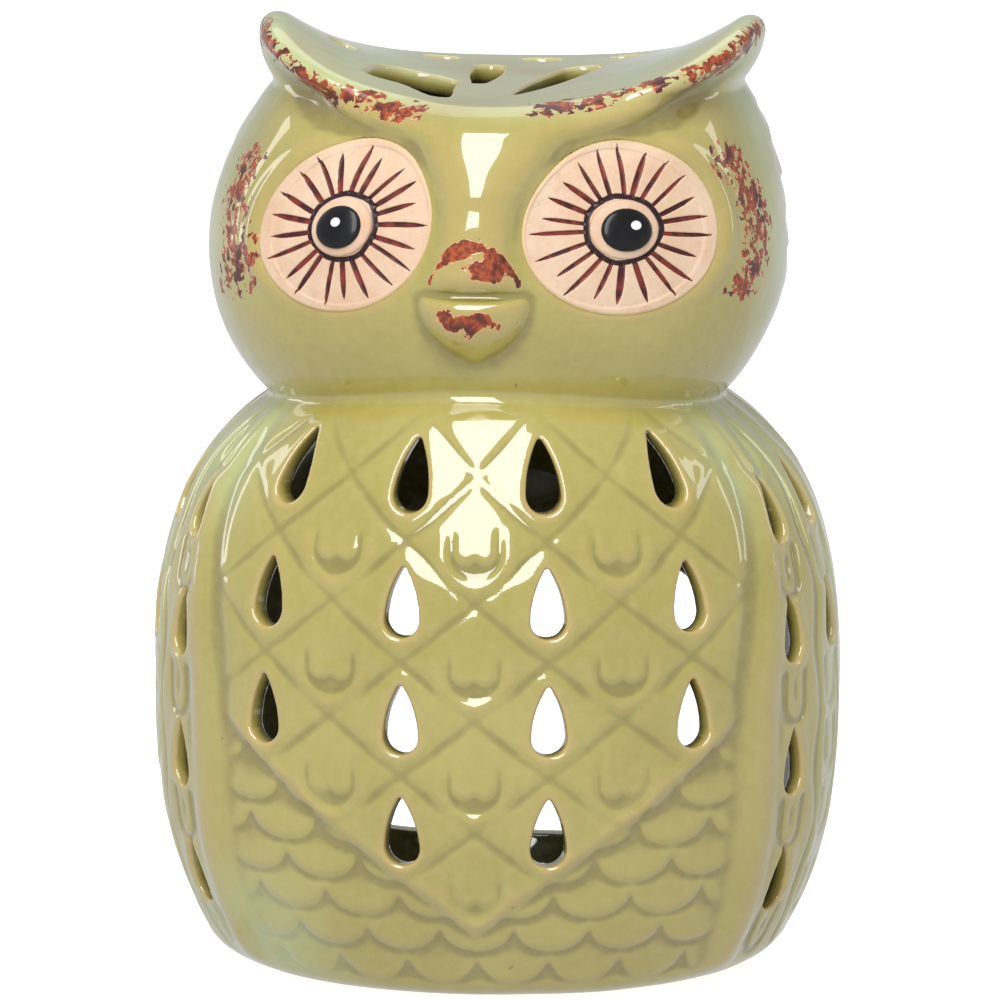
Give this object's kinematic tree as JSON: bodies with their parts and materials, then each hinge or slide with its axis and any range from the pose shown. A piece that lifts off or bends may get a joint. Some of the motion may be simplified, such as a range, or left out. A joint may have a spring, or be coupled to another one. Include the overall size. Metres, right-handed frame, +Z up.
{
  "type": "owl tealight lantern",
  "caption": "Hollow pierced ceramic owl with horned crown and large eyes, open at the back, holding a tealight candle.",
  "frame": {"origin": "middle of the flat underside, on the surface that the lantern stands on", "axes": "+Z up, the owl faces -Y, +X is the owl's left"},
  "size_m": [0.1444, 0.1352, 0.1995],
  "materials": {
    "glaze": "glossy",
    "eye_clay": "matte",
    "iris_clay": "matte",
    "pupil": "glossy",
    "cup": "satin",
    "wax": "waxy",
    "wick": "matte",
    "tab": "satin"
  },
  "bodies": {
    "lantern": {"owl_shell": "glaze", "eye_disc_left": "eye_clay", "eye_disc_right": "eye_clay", "iris_left": "iris_clay", "iris_right": "iris_clay", "pupil_left": "pupil", "pupil_right": "pupil"},
    "tealight": {"tealight_cup": "cup", "tealight_wax": "wax", "tealight_wick": "wick", "wick_tab": "tab"}
  },
  "joints": [
    {"name": "candle_removal", "type": "slide", "parent": "lantern", "child": "tealight", "axis": [0, 0.9659, 0.2588], "range_m": [0, 0.135]}
  ]
}
